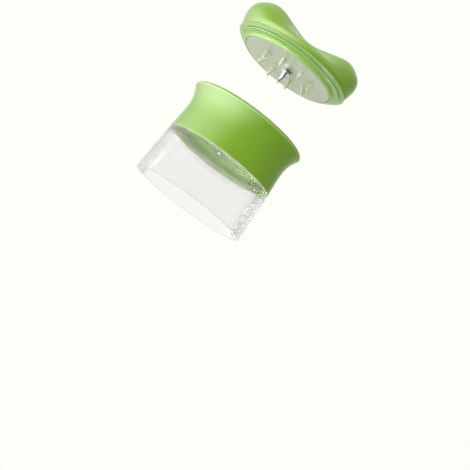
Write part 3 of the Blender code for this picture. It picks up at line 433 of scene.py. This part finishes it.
blade_steel = steel("blade_steel", 0.2, 0.25 * MM)
eased("blade", "slicing_blade", 0.04 * MM, blade_steel, "cutter_body", "stainless")
eased("comb", "julienne_comb", 0.05 * MM, blade_steel, "cutter_body", "stainless")
coring_low, coring_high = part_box("coring_tube")
coring_bore = coring_high.x - CORING_WALL
coring_corners = [
    (coring_bore + CORING_EDGE, coring_high.z, 0.05 * MM),
    (coring_high.x, coring_high.z - CORING_BEVEL, CREASE),
    (coring_high.x, coring_low.z, 0.1 * MM), (coring_bore, coring_low.z, 0.1 * MM),
    (coring_bore, coring_high.z, 0.0)]
shown("coring_cutter", turned_mesh("coring_cutter", rounded_outline(coring_corners), 96),
      blade_steel, "cutter_body", "stainless", "coring_tube")


# Rivets and carrier screws
# Flat-head steel rivets hold the blade and the comb. Three pan-head screws with a cross recess
# go up through the deck into the core's ledge.
rivet_steel = steel("rivet_steel", 0.3, 0.4 * MM, 0.05)
for rivet in ("blade_rivet_1", "blade_rivet_2", "comb_rivet_1", "comb_rivet_2"):
    eased(rivet + "_head", rivet, 0.06 * MM, rivet_steel, "cutter_body", "stainless")
screw_steel = steel("screw_steel", 0.26, 0.3 * MM, 0.05)
for number in (1, 2, 3):
    eased(f"carrier_fixing_{number}", f"carrier_screw_{number}", 0.08 * MM, screw_steel,
          "cutter_body", "stainless")


# Feed funnel
# A white moulded cone in the collar's mouth, whose flange lies on the core's lip. It leads what
# is pushed in down to the blade, and the seat ring's plug slides in its straight top.
MOUTH_DEPTH = 2.9 * MM
MOUTH_CHAMFER = 1.0 * MM
FUNNEL_SWEEP_H = 4.2 * MM
FUNNEL_SKIRT_H = 2.4 * MM
funnel_flange_z = core_high.z + SEAT_GAP
straight_z = funnel_high.z - MOUTH_DEPTH
skirt_r = core_bore_r - SEAT_GAP
funnel_corners = [
    (funnel_high.x, funnel_high.z, EDGE), (funnel_high.x, funnel_flange_z, CREASE),
    (mouth_r + FUNNEL_WALL, funnel_flange_z, CREASE),
    (mouth_r + FUNNEL_WALL, straight_z, 2 * MM), (skirt_r, flare_z, 2 * MM),
    (skirt_r, flare_z - FUNNEL_SKIRT_H, 1 * MM),
    (throat_r + FUNNEL_WALL, funnel_low.z, EDGE), (throat_r, funnel_low.z, EDGE),
    (skirt_r - FUNNEL_WALL, straight_z - FUNNEL_SWEEP_H, 4 * MM),
    (mouth_r, straight_z, 2 * MM), (mouth_r, funnel_high.z - MOUTH_CHAMFER, 0.6 * MM),
    (mouth_r + MOUTH_CHAMFER, funnel_high.z, EDGE)]
shown("funnel", turned_mesh("funnel", rounded_outline(funnel_corners, 8)),
      white_plastic, "cutter_body", "white_plastic", "feed_funnel")


# Catch sleeve
# A clear cup without a floor, injection moulded in stiff clear plastic with a rounded foot.
# Its spigot is pushed up into the collar, and a soft ring in a groove holds it there.
SLEEVE_WALL = 2.2 * MM
SLEEVE_SPIGOT_WALL = 1.5 * MM
SLEEVE_FLARE = 1.8 * MM
SLEEVE_STEP = 1.6 * MM
SLEEVE_STEP_EASE = 1.6 * MM
GROOVE_DEPTH = 0.8 * MM
GROOVE_HALF = 1.2 * MM
WALL_HAZE = 0.2              # share of the clear wall that is seen when looked at squarely
GRAZING_HAZE = 0.4           # and what is added where it is looked along
# The edge haze makes the painted dark edge line show at the rounded edges.
EDGE_SHADE_HAZE = 0.7              # and at the rounded edges, which look dark
HAZE_POWER = 3.0             # how late the grazing haze sets in
clear_plastic = with_skin(
    "clear_plastic", MOULDED_SKIN,
    {"Colour": srgb(240, 236, 244), "Drifted Colour": srgb(236, 233, 238),
     # Its edge colour is a painted shade: a dark line painted along the rounded edges.
     "Painted Rim Shading": srgb(118, 122, 116), "Painted Rim Share": 0.7, "Drift Size": 60 * MM,
     "Grain Size": 6 * MM, "Roughness": 0.05, "Gloss Drift": 0.04},
    0.02, 0.1 * MM, {"Transmission Weight": 1.0, "IOR": 1.2})
tree = clear_plastic.node_tree
along = math_node(tree, "POWER", tree.nodes.new("ShaderNodeLayerWeight").outputs["Facing"],
                  HAZE_POWER)
haze = math_node(tree, "MULTIPLY_ADD", along, GRAZING_HAZE, WALL_HAZE)
# Alpha rises where the painted dark edge is mixed in.
haze = math_node(tree, "MULTIPLY_ADD", tree.nodes["Group"].outputs["Painted Rim Mask"], EDGE_SHADE_HAZE, haze)
tree.links.new(haze, tree.nodes["Principled BSDF"].inputs["Alpha"])

sleeve_foot_r = sleeve_high.x
sleeve_top_r = sleeve_foot_r - SLEEVE_FLARE
spigot_r = foot_bore_r - SEAT_GAP
spigot_bore = spigot_r - SLEEVE_SPIGOT_WALL
shoulder = grip_low.z - SEAT_GAP
under_step = shoulder - SLEEVE_STEP
friction_mid = (friction_low.z + friction_high.z) / 2
groove_r = spigot_r - GROOVE_DEPTH
sleeve_corners = [
    (spigot_r, sleeve_high.z, EDGE), (spigot_r, friction_mid + GROOVE_HALF, CREASE),
    (groove_r, friction_mid + GROOVE_HALF, CREASE), (groove_r, friction_mid - GROOVE_HALF, CREASE),
    (spigot_r, friction_mid - GROOVE_HALF, CREASE), (spigot_r, shoulder, CREASE),
    (sleeve_top_r, shoulder, 0.4 * MM), (sleeve_foot_r, sleeve_low.z, 0.8 * MM),
    (sleeve_foot_r - SLEEVE_WALL, sleeve_low.z, 0.4 * MM),
    (sleeve_top_r - SLEEVE_WALL, under_step - SLEEVE_STEP_EASE, 1.2 * MM),
    (spigot_bore, under_step, 0.5 * MM), (spigot_bore, sleeve_high.z, EDGE)]
clear_wall = shown("sleeve_clear_wall",
                   turned_mesh("sleeve_clear_wall", rounded_outline(sleeve_corners)),
                   clear_plastic, "catch_sleeve", "clear_plastic", "clear_sleeve")
clear_wall.visible_shadow = False        # light goes through it to the collar's inside


# Sleeve ring
# A moulded silicone ring, stretched into the groove of the sleeve's spigot.
# It rubs in the collar's foot and so holds the sleeve up without a catch.
silicone = with_skin(
    "silicone", MOULDED_SKIN,
    {"Colour": srgb(224, 238, 208), "Drifted Colour": srgb(216, 232, 198),
     # Its edge colour is a painted highlight along the rounded edges.
     "Painted Rim Shading": srgb(238, 244, 230), "Painted Rim Share": 0.2, "Grain Size": 0.3 * MM,
     "Roughness": 0.5, "Gloss Drift": 0.1},
    0.12, 0.1 * MM, {"IOR": 1.43})
ring_inner = groove_r + SEAT_GAP
ring_corners = [(friction_high.x, friction_high.z, 0.6 * MM),
                (friction_high.x, friction_low.z, 0.6 * MM),
                (ring_inner, friction_low.z, 0.1 * MM), (ring_inner, friction_high.z, 0.1 * MM)]
shown("friction_ring", turned_mesh("friction_ring", rounded_outline(ring_corners)),
      silicone, "catch_sleeve", "silicone", "sleeve_ring")


# Seat ring
# A light green moulded ring at the holder's rim. Its plug fits the funnel's mouth, and the
# handle turns on its ledge, held from below by the spike plate.
PLUG_H = 2.0 * MM
PLUG_ROUND = 1.0 * MM
RING_RIM_W = 1.3 * MM
RING_LEDGE_W = 2.8 * MM
RING_FLANGE_RISE = 0.8 * MM
RING_COVE_W = 1.1 * MM
RING_COVE_H = 0.3 * MM
PLATE_T = 1.5 * MM
band_green = with_skin(
    "band_green_plastic", MOULDED_SKIN,
    {"Colour": srgb(180, 226, 126), "Drifted Colour": srgb(172, 220, 114),
     # Its edge colour is a painted highlight along the rounded edges of the band.
     "Painted Rim Shading": srgb(222, 246, 190), "Painted Rim Share": 0.7, "Drift Size": 15 * MM,
     "Grain Size": 0.5 * MM, "Roughness": 0.18, "Gloss Drift": 0.06},
    0.04, 0.1 * MM, {"IOR": 1.55})
seat_low, seat_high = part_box("seat_ring")
rim_z = seat_low.z
plug_r = mouth_r - SEAT_GAP
rim_r = plug_r - RING_RIM_W
ring_ledge_r = rim_r - RING_LEDGE_W
ring_ledge_z = rim_z + PLATE_T + SEAT_GAP
seat_corners = [
    (seat_high.x, seat_high.z, 0.15 * MM),
    (seat_high.x, rim_z + PLUG_H + RING_FLANGE_RISE, CREASE),
    (plug_r + RING_COVE_W, rim_z + PLUG_H + RING_COVE_H, 0.5 * MM),
    (plug_r, rim_z + PLUG_H, CREASE), (plug_r, rim_z, PLUG_ROUND), (rim_r, rim_z, CREASE),
    (rim_r, ring_ledge_z, 0.1 * MM), (ring_ledge_r, ring_ledge_z, CREASE),
    (ring_ledge_r, seat_high.z, CREASE)]
shown("plug_ring", turned_mesh("plug_ring", rounded_outline(seat_corners)),
      band_green, "holder_ring", "light_green", "seat_ring")


# Handle base
# The handle's round foot, moulded in the same light green as the seat ring, with a stepped
# band. Its boss runs inside the seat ring, and a hub in its middle holds the brass insert.
BASE_WALL = 1.5 * MM
BASE_RIM_W = 3.0 * MM
BASE_STEP = 0.35 * MM
BAND_TOP_W = 0.5 * MM
BAND_TOP_H = 0.95 * MM
BAND_STEP_W = 1.3 * MM
BAND_STEP_H = 0.65 * MM
BAND_LOW_H = 0.4 * MM
BASE_H = 5.3 * MM
HUB_R = 6.0 * MM
HUB_BORE_R = 3.3 * MM
base_low, base_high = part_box("handle_base")
base_r = base_high.x
base_foot = seat_high.z + SEAT_GAP
base_deck = base_foot + BASE_WALL
base_top = rim_z + BASE_H
boss_r = ring_ledge_r - SEAT_GAP
band_low_r = base_r - BAND_STEP_W - BASE_STEP
base_corners = [
    (HUB_BORE_R, base_high.z, CREASE), (HUB_R, base_high.z, 0.4 * MM), (HUB_R, base_deck, 0.6 * MM),
    (base_r - BASE_RIM_W - BASE_WALL, base_deck, CREASE), (base_r - BASE_RIM_W, base_top, 0.1 * MM),
    (base_r - BASE_STEP, base_top, 0.1 * MM), (base_r, base_top - BASE_STEP, 0.15 * MM),
    (base_r - BAND_TOP_W, base_foot + BAND_TOP_H, 0.1 * MM),
    (base_r - BAND_STEP_W, base_foot + BAND_STEP_H, 0.1 * MM),
    (band_low_r, base_foot + BAND_LOW_H, 0.1 * MM),
    (seat_high.x + BASE_STEP, base_foot, 0.1 * MM), (boss_r, base_foot, 0.15 * MM),
    (boss_r, base_low.z, EDGE), (HUB_BORE_R, base_low.z, EDGE)]
shown("handle_foot", turned_mesh("handle_foot", rounded_outline(base_corners, 4)),
      band_green, "food_holder", "light_green", "handle_base")


# Hub insert and spike
# A turned brass insert is pressed into the hub, and a steel spike with a washer screws into it.
# The spike's collar and the washer clamp the spike plate to the base.
brass = with_skin("brass", GROUND_STEEL,
                  {"Colour": srgb(206, 176, 104), "Line Colour": srgb(176, 146, 78),
                   "Roughness": 0.34, "Line Size": 0.4 * MM},
                  0.1, 0.02 * MM, {"Metallic": 1.0})
eased("insert_bush", "hub_insert", 0.15 * MM, brass, "food_holder", "brass")
spike_steel = steel("spike_steel", 0.18, 0.3 * MM)
eased("spike_seat_washer", "spike_washer", 0.1 * MM, spike_steel, "food_holder", "stainless")
eased("spike", "centre_spike", 0.1 * MM, spike_steel, "food_holder", "stainless")


# Spike plate
# A pale round plate, moulded with eight teeth and three pegs, that closes the holder below.
# It is set into the seat ring's bore and turned with the handle.
pale_plate = with_skin(
    "pale_plate_plastic", MOULDED_SKIN,
    {"Colour": srgb(230, 240, 214), "Drifted Colour": srgb(222, 235, 204),
     # Its edge colour is a painted highlight along the rounded edges.
     "Painted Rim Shading": srgb(244, 248, 236), "Painted Rim Share": 0.4, "Grain Size": 0.5 * MM,
     "Roughness": 0.28, "Gloss Drift": 0.08},
    0.05, 0.1 * MM, {"IOR": 1.5})
eased("tooth_plate", "spike_plate", 0.25 * MM, pale_plate, "food_holder", "pale_plate")


# Handle shell
# A hollow green saddle of satin plastic with two lobes for the palm, moulded in one piece.
# It stands on the base's band, and four screws from below hold it through its bosses.
SHELL_INSET = 0.4 * MM
SHELL_WALL = 1.9 * MM
BELLY_BULGE = 2.05 * MM
BELLY_H = 10.7 * MM
SHOULDER_INSET = 1.0 * MM
SHOULDER_H = 18.1 * MM
CROWN_INSET = 11.5 * MM
CROWN_H = 23.7 * MM
DIP_R = 15.0 * MM
DIP_H = 19.7 * MM
CENTRE_H = 16.1 * MM
SKIRT_H = 3.4 * MM
SHELF_INSET = 6.0 * MM
SHELF_H = 6.0 * MM
SLOPE_INSET = 20.0 * MM
SLOPE_H = 10.0 * MM
BROW_R = 12.5 * MM
BROW_H = 14.3 * MM
LOBE_SHARPNESS = 1.13
SHELL_ROWS = 56
SHELL_LEAN = 1.4
SPAN_STEPS = 24
handle_green = with_skin(
    "satin_green_handle", MOULDED_SKIN,
    {"Colour": srgb(150, 196, 62), "Drifted Colour": srgb(140, 190, 54),
     # Its edge colour is a painted highlight along the rounded edges.
     "Painted Rim Shading": srgb(196, 226, 156), "Painted Rim Share": 0.5, "Drift Size": 25 * MM,
     "Grain Size": 0.35 * MM, "Roughness": 0.18, "Gloss Drift": 0.06},
    0.06, 0.1 * MM, {"IOR": 1.55})
shell_foot_r = base_r - SHELL_INSET
shell_foot_z = base_top + SEAT_GAP


def through(points, count, lean):
    """A smooth curve through points, read in steps that grow with its length by a power.

    It ends level on the axis, so that the saddle's middle has no point.
    """
    nodes = [Vector(p) for p in points]
    ends = [2 * nodes[0] - nodes[1], *nodes, Vector((-nodes[-2].x, nodes[-2].y))]
    fine = []
    for a, b, c, d in zip(ends, ends[1:], ends[2:], ends[3:]):
        for k in range(SPAN_STEPS):
            t = k / SPAN_STEPS
            fine.append(0.5 * (2 * b + (c - a) * t + (2 * a - 5 * b + 4 * c - d) * t ** 2
                               + (3 * b - a - 3 * c + d) * t ** 3))
    fine.append(nodes[-1])
    lengths = [0.0]
    for p, q in zip(fine, fine[1:]):
        lengths.append(lengths[-1] + (q - p).length)
    picked = []
    at = 0
    for i in range(count):
        wanted = lengths[-1] * (i / (count - 1)) ** lean
        while at < len(fine) - 2 and lengths[at + 1] < wanted:
            at += 1
        share = (wanted - lengths[at]) / (lengths[at + 1] - lengths[at])
        picked.append(fine[at].lerp(fine[at + 1], min(share, 1.0)))
    return picked


lobe_curve = through(
    [(shell_foot_r, 0.0), (shell_foot_r + BELLY_BULGE, BELLY_H),
     (shell_foot_r - SHOULDER_INSET, SHOULDER_H), (shell_foot_r - CROWN_INSET, CROWN_H),
     (DIP_R, DIP_H), (0.0, CENTRE_H)], SHELL_ROWS, SHELL_LEAN)
waist_curve = through(
    [(shell_foot_r, 0.0), (shell_foot_r, SKIRT_H), (shell_foot_r - SHELF_INSET, SHELF_H),
     (shell_foot_r - SLOPE_INSET, SLOPE_H), (BROW_R, BROW_H), (0.0, CENTRE_H)],
    SHELL_ROWS, SHELL_LEAN)


def shell_mesh():
    """The shell's outer face, lofted between the lobe's curve and the waist's."""
    mesh = bpy.data.meshes.new("saddle")
    bm = bmesh.new()
    apex = bm.verts.new((0.0, 0.0, shell_foot_z + CENTRE_H))
    rings = []
    for k in range(FINE):
        angle = 2 * math.pi * k / FINE
        share = (math.cos(angle) ** 2) ** LOBE_SHARPNESS
        line = [w.lerp(l, share) for l, w in zip(lobe_curve, waist_curve)][:-1]
        rings.append([bm.verts.new((p.x * math.cos(angle), p.x * math.sin(angle),
                                    shell_foot_z + p.y)) for p in line])
    for here, after in zip(rings, rings[1:] + rings[:1]):
        for low in range(SHELL_ROWS - 2):
            bm.faces.new((here[low], after[low], after[low + 1], here[low + 1]))
        bm.faces.new((here[-1], after[-1], apex))
    low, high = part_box("handle_shell")
    fit = Vector((high.x / max(v.co.x for v in bm.verts), high.y / max(v.co.y for v in bm.verts),
                  (high.z - shell_foot_z) / (max(v.co.z for v in bm.verts) - shell_foot_z)))
    for v in bm.verts:
        v.co = (v.co.x * fit.x, v.co.y * fit.y, shell_foot_z + (v.co.z - shell_foot_z) * fit.z)
    bm.to_mesh(mesh)
    bm.free()
    return mesh


saddle = shown("saddle", shell_mesh(), handle_green, "food_holder", "green_handle", "handle_shell")
saddle_wall = saddle.modifiers.new("wall", "SOLIDIFY")
saddle_wall.thickness = SHELL_WALL
saddle_wall.offset = -1.0
saddle.modifiers.move(len(saddle.modifiers) - 1, 0)

BOSS_R = 3.0 * MM
BOSS_BORE_R = 1.4 * MM
BOSS_SCREW_DEPTH = 7.0 * MM


def shell_height(x, y):
    """Height of the saddle's outer face over a place."""
    share = (math.cos(math.atan2(y, x)) ** 2) ** LOBE_SHARPNESS
    line = [w.lerp(l, share) for l, w in zip(lobe_curve, waist_curve)]
    return shell_foot_z + min(line, key=lambda p: abs(p.x - math.hypot(x, y))).y


for number in (1, 2, 3, 4):
    screw_low, screw_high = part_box(f"shell_screw_{number}")
    spot = (screw_low + screw_high) / 2
    outward = 1.0 + BOSS_R / math.hypot(spot.x, spot.y)
    boss_top = shell_height(spot.x * outward, spot.y * outward) - SHELL_WALL
    boss_foot = base_deck + SEAT_GAP
    bore_top = boss_foot + BOSS_SCREW_DEPTH + SEAT_GAP
    boss_mesh = turned_mesh(f"shell_boss_{number}", rounded_outline([
        (0.0, boss_top, 0.0), (BOSS_R, boss_top, EDGE), (BOSS_R, boss_foot, EDGE),
        (BOSS_BORE_R, boss_foot, CREASE), (BOSS_BORE_R, bore_top, CREASE), (0.0, bore_top, 0.0)]),
        64)
    boss_mesh.transform(Matrix.Translation((spot.x, spot.y, 0.0)))
    shown(f"shell_boss_{number}", boss_mesh, handle_green, "food_holder", "green_handle",
          "handle_shell")


# Shell screws
# Four pan-head screws, put in from below through the base's boss into the shell's bosses.
# The spike plate is put on over them, so that none shows.
for number in (1, 2, 3, 4):
    eased(f"shell_fixing_{number}", f"shell_screw_{number}", 0.08 * MM, screw_steel,
          "food_holder", "stainless")


# Studio
# A pale floor under the tool, a white surround and three soft lamps. Gloss sees one large
# feathered softbox at the left in place of the lamps. The floor is seen only from above, so that
# the view from below the tool stays white.
TILT = math.radians(7.07)
ROLL = math.radians(36.41)
YAW = 0.135
CAMERA_OFFSET = Vector((-0.0307, 0.0205, -0.6459))
FOCAL_PIXELS = 1000.0
IMAGE_WIDTH = 470.0
SENSOR = 36.0
TARGET = Vector((0.0, 0.0, 70 * MM))
up = Vector((math.sin(ROLL) * math.cos(TILT), math.cos(ROLL) * math.cos(TILT), -math.sin(TILT)))
side = Vector((math.cos(ROLL), -math.sin(ROLL), 0.0))
deep = up.cross(side)
x_axis = math.cos(YAW) * side + math.sin(YAW) * deep
y_axis = -math.sin(YAW) * side + math.cos(YAW) * deep
to_camera = Matrix((
    (x_axis.x, y_axis.x, up.x, CAMERA_OFFSET.x),
    (x_axis.y, y_axis.y, up.y, CAMERA_OFFSET.y),
    (x_axis.z, y_axis.z, up.z, CAMERA_OFFSET.z),
    (0.0, 0.0, 0.0, 1.0)))
camera = bpy.data.objects.new("camera", bpy.data.cameras.new("camera"))
bpy.context.scene.collection.objects.link(camera)
camera.matrix_world = to_camera.inverted()
camera.data.sensor_width = SENSOR
camera.data.lens = FOCAL_PIXELS / IMAGE_WIDTH * SENSOR
camera.data.clip_start = 0.01
bpy.context.scene.camera = camera
bpy.context.scene.view_settings.view_transform = "Standard"

AMBIENT = 0.48
DIM_SIDE = 0.25              # surround as gloss shows it, at the right and before the tool
BACKDROP = 1.1               # and behind the tool, at the left
BACKDROP_WAY = Vector((-0.70, 0.10, -0.70))
SOFTBOX = 8.0                # middle of the left softbox as gloss shows it
SOFTBOX_FEATHER = 2.2        # power by which the softbox fades from its middle
SOFTBOX_WAY = Vector((-0.90, 0.14, 0.40))     # across, above and before, as the camera sees
KEY_WAY = Vector((-0.26, 0.60, 0.75))
LOW_WAY = Vector((-0.82, -0.10, 0.56))
FILL_WAY = Vector((0.40, 0.75, -0.52))
LAMP_SIZE = 0.7
KEY_POWER = 4.2
LOW_POWER = 1.4
FILL_POWER = 3.0
surround = bpy.data.worlds.new("surround")
bpy.context.scene.world = surround
surround.use_nodes = True
sky = surround.node_tree
view_axes = camera.matrix_world.to_3x3()


def facing_share(tree, way):
    """Cosine between a ray and a direction in the camera's axes, or 0 where they part."""
    dot = tree.nodes.new("ShaderNodeVectorMath")
    dot.operation = "DOT_PRODUCT"
    dot.inputs[1].default_value = (view_axes @ way).normalized()
    tree.links.new(tree.nodes.new("ShaderNodeTexCoord").outputs["Generated"], dot.inputs[0])
    return math_node(tree, "MAXIMUM", dot.outputs["Value"], 0.0)


ray = sky.nodes.new("ShaderNodeLightPath")
through_glass = ray.outputs["Is Transmission Ray"]
seen_straight = math_node(sky, "MAXIMUM", ray.outputs["Is Camera Ray"], through_glass)
mirrored = math_node(sky, "MULTIPLY", ray.outputs["Is Glossy Ray"],
                     math_node(sky, "SUBTRACT", 1.0, through_glass))
backdrop = facing_share(sky, BACKDROP_WAY)
gloss_level = math_node(sky, "MULTIPLY_ADD", backdrop, BACKDROP - DIM_SIDE, DIM_SIDE)
softbox = math_node(sky, "POWER", facing_share(sky, SOFTBOX_WAY), SOFTBOX_FEATHER)
gloss_level = math_node(sky, "MULTIPLY_ADD", softbox, SOFTBOX, gloss_level)
level = math_node(sky, "MULTIPLY_ADD", seen_straight, 1.0 - AMBIENT, AMBIENT)
level = math_node(sky, "MULTIPLY_ADD", mirrored,
                  math_node(sky, "SUBTRACT", gloss_level, AMBIENT), level)
sky.links.new(level, sky.nodes["Background"].inputs["Strength"])
sky.nodes["Background"].inputs["Color"].default_value = srgb(254, 254, 248)

FLOOR_R = 1.2
FLOOR_GLOW = 0.28            # paler floor for the camera alone, with no light on the tool
FLOOR_DROP = 0.5 * MM        # floor below the sleeve's foot, so that the two don't touch
floor_mesh = bpy.data.meshes.new("floor")
bm = bmesh.new()
bmesh.ops.create_circle(bm, cap_ends=True, segments=64, radius=FLOOR_R)
bm.to_mesh(floor_mesh)
bm.free()
floor = bpy.data.objects.new("floor", floor_mesh)
bpy.context.scene.collection.objects.link(floor)
floor.location.z = -FLOOR_DROP
floor_paint = bpy.data.materials.new("floor_paint")
floor_paint.use_nodes = True
tree = floor_paint.node_tree
tree.nodes["Principled BSDF"].inputs["Roughness"].default_value = 0.9
tree.nodes["Principled BSDF"].inputs["Base Color"].default_value = srgb(250, 250, 246)
tree.nodes["Principled BSDF"].inputs["Emission Color"].default_value = srgb(254, 254, 248)
tree.nodes["Principled BSDF"].inputs["Emission Strength"].default_value = FLOOR_GLOW
ray = tree.nodes.new("ShaderNodeLightPath")
facing = tree.nodes.new("ShaderNodeNewGeometry")
hidden = math_node(tree, "MAXIMUM", facing.outputs["Backfacing"],
                   math_node(tree, "SUBTRACT", 1.0, ray.outputs["Is Camera Ray"]))
gone = tree.nodes.new("ShaderNodeBsdfTransparent")
seen = tree.nodes.new("ShaderNodeMixShader")
tree.links.new(hidden, seen.inputs["Fac"])
tree.links.new(tree.nodes["Principled BSDF"].outputs[0], seen.inputs[1])
tree.links.new(gone.outputs[0], seen.inputs[2])
tree.links.new(seen.outputs[0], tree.nodes["Material Output"].inputs["Surface"])
floor_mesh.materials.append(floor_paint)


def soft_lamp(name, way, power):
    """A square lamp a metre from the tool. Gloss shows the feathered softbox in its place."""
    lamp = bpy.data.objects.new(name, bpy.data.lights.new(name, "AREA"))
    bpy.context.scene.collection.objects.link(lamp)
    lamp.data.size = LAMP_SIZE
    lamp.data.energy = power
    lamp.location = TARGET + view_axes @ way.normalized()
    lamp.rotation_euler = (TARGET - lamp.location).to_track_quat("-Z", "Y").to_euler()
    lamp.visible_glossy = False
    lamp.visible_transmission = False


soft_lamp("key", KEY_WAY, KEY_POWER)
soft_lamp("low", LOW_WAY, LOW_POWER)
soft_lamp("fill", FILL_WAY, FILL_POWER)
